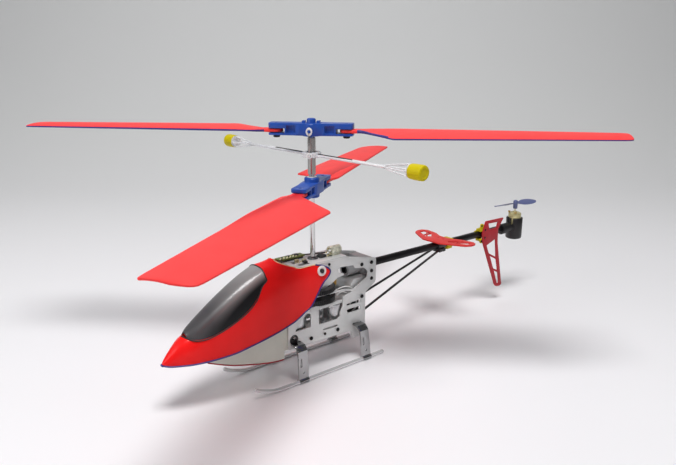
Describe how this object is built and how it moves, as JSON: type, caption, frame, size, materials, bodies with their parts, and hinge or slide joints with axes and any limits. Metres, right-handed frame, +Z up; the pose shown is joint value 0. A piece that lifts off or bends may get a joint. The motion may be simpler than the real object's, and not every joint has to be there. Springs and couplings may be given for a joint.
{
  "type": "remote control helicopter",
  "caption": "Coaxial toy helicopter: opposed rotors with stabiliser bar, red canopy, open metal frame, braced tail boom with fin and propeller, bright skids.",
  "frame": {"origin": "centre of the bounding box on the ground plane under the skids", "axes": "+Y from nose to tail, +X to port, +Z up along the rotor mast"},
  "size_m": [0.3454, 0.4606, 0.1905],
  "materials": {
    "canopy_red": "gloss moulded shell",
    "screen_smoke": "tinted transparent plastic",
    "blade_coral": "flexible gloss plastic",
    "hub_blue": "gloss moulded plastic",
    "frame_silver": "matt silver sheet",
    "mount_grey": "dark grey moulded plastic",
    "bearing_steel": "dark steel",
    "motor_steel": "plated steel can",
    "gear_black": "black nylon",
    "pinion_brass": "machined brass",
    "shaft_steel": "ground steel",
    "chrome_bright": "bright plated",
    "boom_black": "black tube",
    "strut_dark": "dark plastic rod",
    "fin_red": "dark red plastic",
    "trim_yellow": "yellow green plastic",
    "holder_black": "black plastic",
    "tail_motor_cream": "pale brass can",
    "propeller_blue": "slate blue plastic",
    "flybar_clear": "clear plastic",
    "link_white": "white plastic",
    "grommet_white": "white rubber",
    "pan_cream": "pale moulded plastic",
    "battery_wrap": "shrink wrapped cells",
    "board_green": "circuit board"
  },
  "bodies": {
    "airframe": {"battery": "battery_wrap", "belly_pan": "pan_cream", "boom_mount": "mount_grey", "bottom_plate": "frame_silver", "canopy": "canopy_red", "canopy_grommet_left": "grommet_white", "canopy_grommet_right": "grommet_white", "canopy_post_left": "holder_black", "canopy_post_right": "holder_black", "crystal_can": "motor_steel", "fin_clamp": "trim_yellow", "frame_side_left": "frame_silver", "frame_side_right": "frame_silver", "leg_front": "chrome_bright", "leg_rear": "chrome_bright", "lower_bearing": "bearing_steel", "main_motor_front": "motor_steel", "main_motor_rear": "motor_steel", "mid_deck": "frame_silver", "power_switch": "holder_black", "rear_spacer": "frame_silver", "receiver_board": "board_green", "skid_left": "chrome_bright", "skid_right": "chrome_bright", "stabilizer": "blade_coral", "stabilizer_clamp": "trim_yellow", "strut_clip": "strut_dark", "strut_left": "strut_dark", "strut_right": "strut_dark", "tail_boom": "boom_black", "tail_fin": "fin_red", "tail_motor": "tail_motor_cream", "tail_motor_holder": "holder_black", "top_bearing": "bearing_steel", "top_deck": "frame_silver", "windscreen": "screen_smoke"},
    "lower_rotor": {"outer_shaft": "shaft_steel", "outer_gear": "gear_black", "lower_hub": "hub_blue"},
    "lower_blade_a": {"lower_blade_a": "blade_coral"},
    "lower_blade_b": {"lower_blade_b": "blade_coral"},
    "upper_rotor": {"inner_shaft": "shaft_steel", "inner_gear": "gear_black", "shaft_sleeve": "shaft_steel", "head_pin": "shaft_steel", "flybar_pin": "shaft_steel"},
    "upper_head": {"upper_head": "hub_blue"},
    "upper_blade_a": {"upper_blade_a": "blade_coral"},
    "upper_blade_b": {"upper_blade_b": "blade_coral"},
    "flybar": {"flybar": "flybar_clear", "flybar_weight_a": "trim_yellow", "flybar_weight_b": "trim_yellow"},
    "link_a": {"link_a": "link_white"},
    "link_b": {"link_b": "link_white"},
    "pinion_front": {"pinion_front": "pinion_brass"},
    "pinion_rear": {"pinion_rear": "pinion_brass"},
    "tail_rotor": {"tail_rotor": "propeller_blue"},
    "switch_knob": {"switch_knob": "holder_black"}
  },
  "joints": [
    {"name": "upper_rotor_spin", "type": "hinge", "parent": "airframe", "child": "upper_rotor", "pos_m": [0, -0.04586, 0.055], "axis": [0, 0, 1], "continuous": true},
    {"name": "lower_rotor_spin", "type": "hinge", "parent": "airframe", "child": "lower_rotor", "pos_m": [0, -0.04586, 0.063], "axis": [0, 0, 1], "continuous": true},
    {"name": "pinion_front_spin", "type": "hinge", "parent": "airframe", "child": "pinion_front", "pos_m": [0, -0.06511, 0.055], "axis": [0, 0, 1], "continuous": true},
    {"name": "pinion_rear_spin", "type": "hinge", "parent": "airframe", "child": "pinion_rear", "pos_m": [0, -0.02661, 0.063], "axis": [0, 0, 1], "continuous": true},
    {"name": "tail_rotor_spin", "type": "hinge", "parent": "airframe", "child": "tail_rotor", "pos_m": [0, 0.20414, 0.092], "axis": [0, 0, 1], "continuous": true},
    {"name": "flybar_tilt", "type": "hinge", "parent": "upper_rotor", "child": "flybar", "pos_m": [0, -0.04586, 0.1646], "axis": [-0.0576, 0.9983, 0], "range_deg": [-8, 8]},
    {"name": "head_feather", "type": "hinge", "parent": "upper_rotor", "child": "upper_head", "pos_m": [0, -0.04586, 0.1818], "axis": [0.7478, 0.6639, 0], "range_deg": [-5.2, 5.2]},
    {"name": "link_a_slide", "type": "slide", "parent": "upper_rotor", "child": "link_a", "axis": [0, 0, 1], "range_m": [-0.0009, 0.0009]},
    {"name": "link_b_slide", "type": "slide", "parent": "upper_rotor", "child": "link_b", "axis": [0, 0, 1], "range_m": [-0.0009, 0.0009]},
    {"name": "upper_blade_a_fold", "type": "hinge", "parent": "upper_head", "child": "upper_blade_a", "pos_m": [0.01907, -0.02893, 0.1818], "axis": [0, 0, 1], "range_deg": [-70, 70]},
    {"name": "upper_blade_b_fold", "type": "hinge", "parent": "upper_head", "child": "upper_blade_b", "pos_m": [-0.01907, -0.06279, 0.1818], "axis": [0, 0, 1], "range_deg": [-70, 70]},
    {"name": "lower_blade_a_fold", "type": "hinge", "parent": "lower_rotor", "child": "lower_blade_a", "pos_m": [0.01415, -0.06707, 0.1402], "axis": [0, 0, 1], "range_deg": [-70, 70]},
    {"name": "lower_blade_b_fold", "type": "hinge", "parent": "lower_rotor", "child": "lower_blade_b", "pos_m": [-0.01415, -0.02465, 0.1402], "axis": [0, 0, 1], "range_deg": [-70, 70]},
    {"name": "switch_slide", "type": "slide", "parent": "airframe", "child": "switch_knob", "axis": [0, 1, 0], "range_m": [0, 0.0038]}
  ],
  "couplings": [
    {"joint": "pinion_front_spin", "follows": "upper_rotor_spin", "ratio": -6},
    {"joint": "pinion_rear_spin", "follows": "lower_rotor_spin", "ratio": -6},
    {"joint": "head_feather", "follows": "flybar_tilt", "ratio": 0.61978},
    {"joint": "link_a_slide", "follows": "flybar_tilt", "m_per_rad": -0.005516},
    {"joint": "link_b_slide", "follows": "flybar_tilt", "m_per_rad": 0.005516}
  ]
}
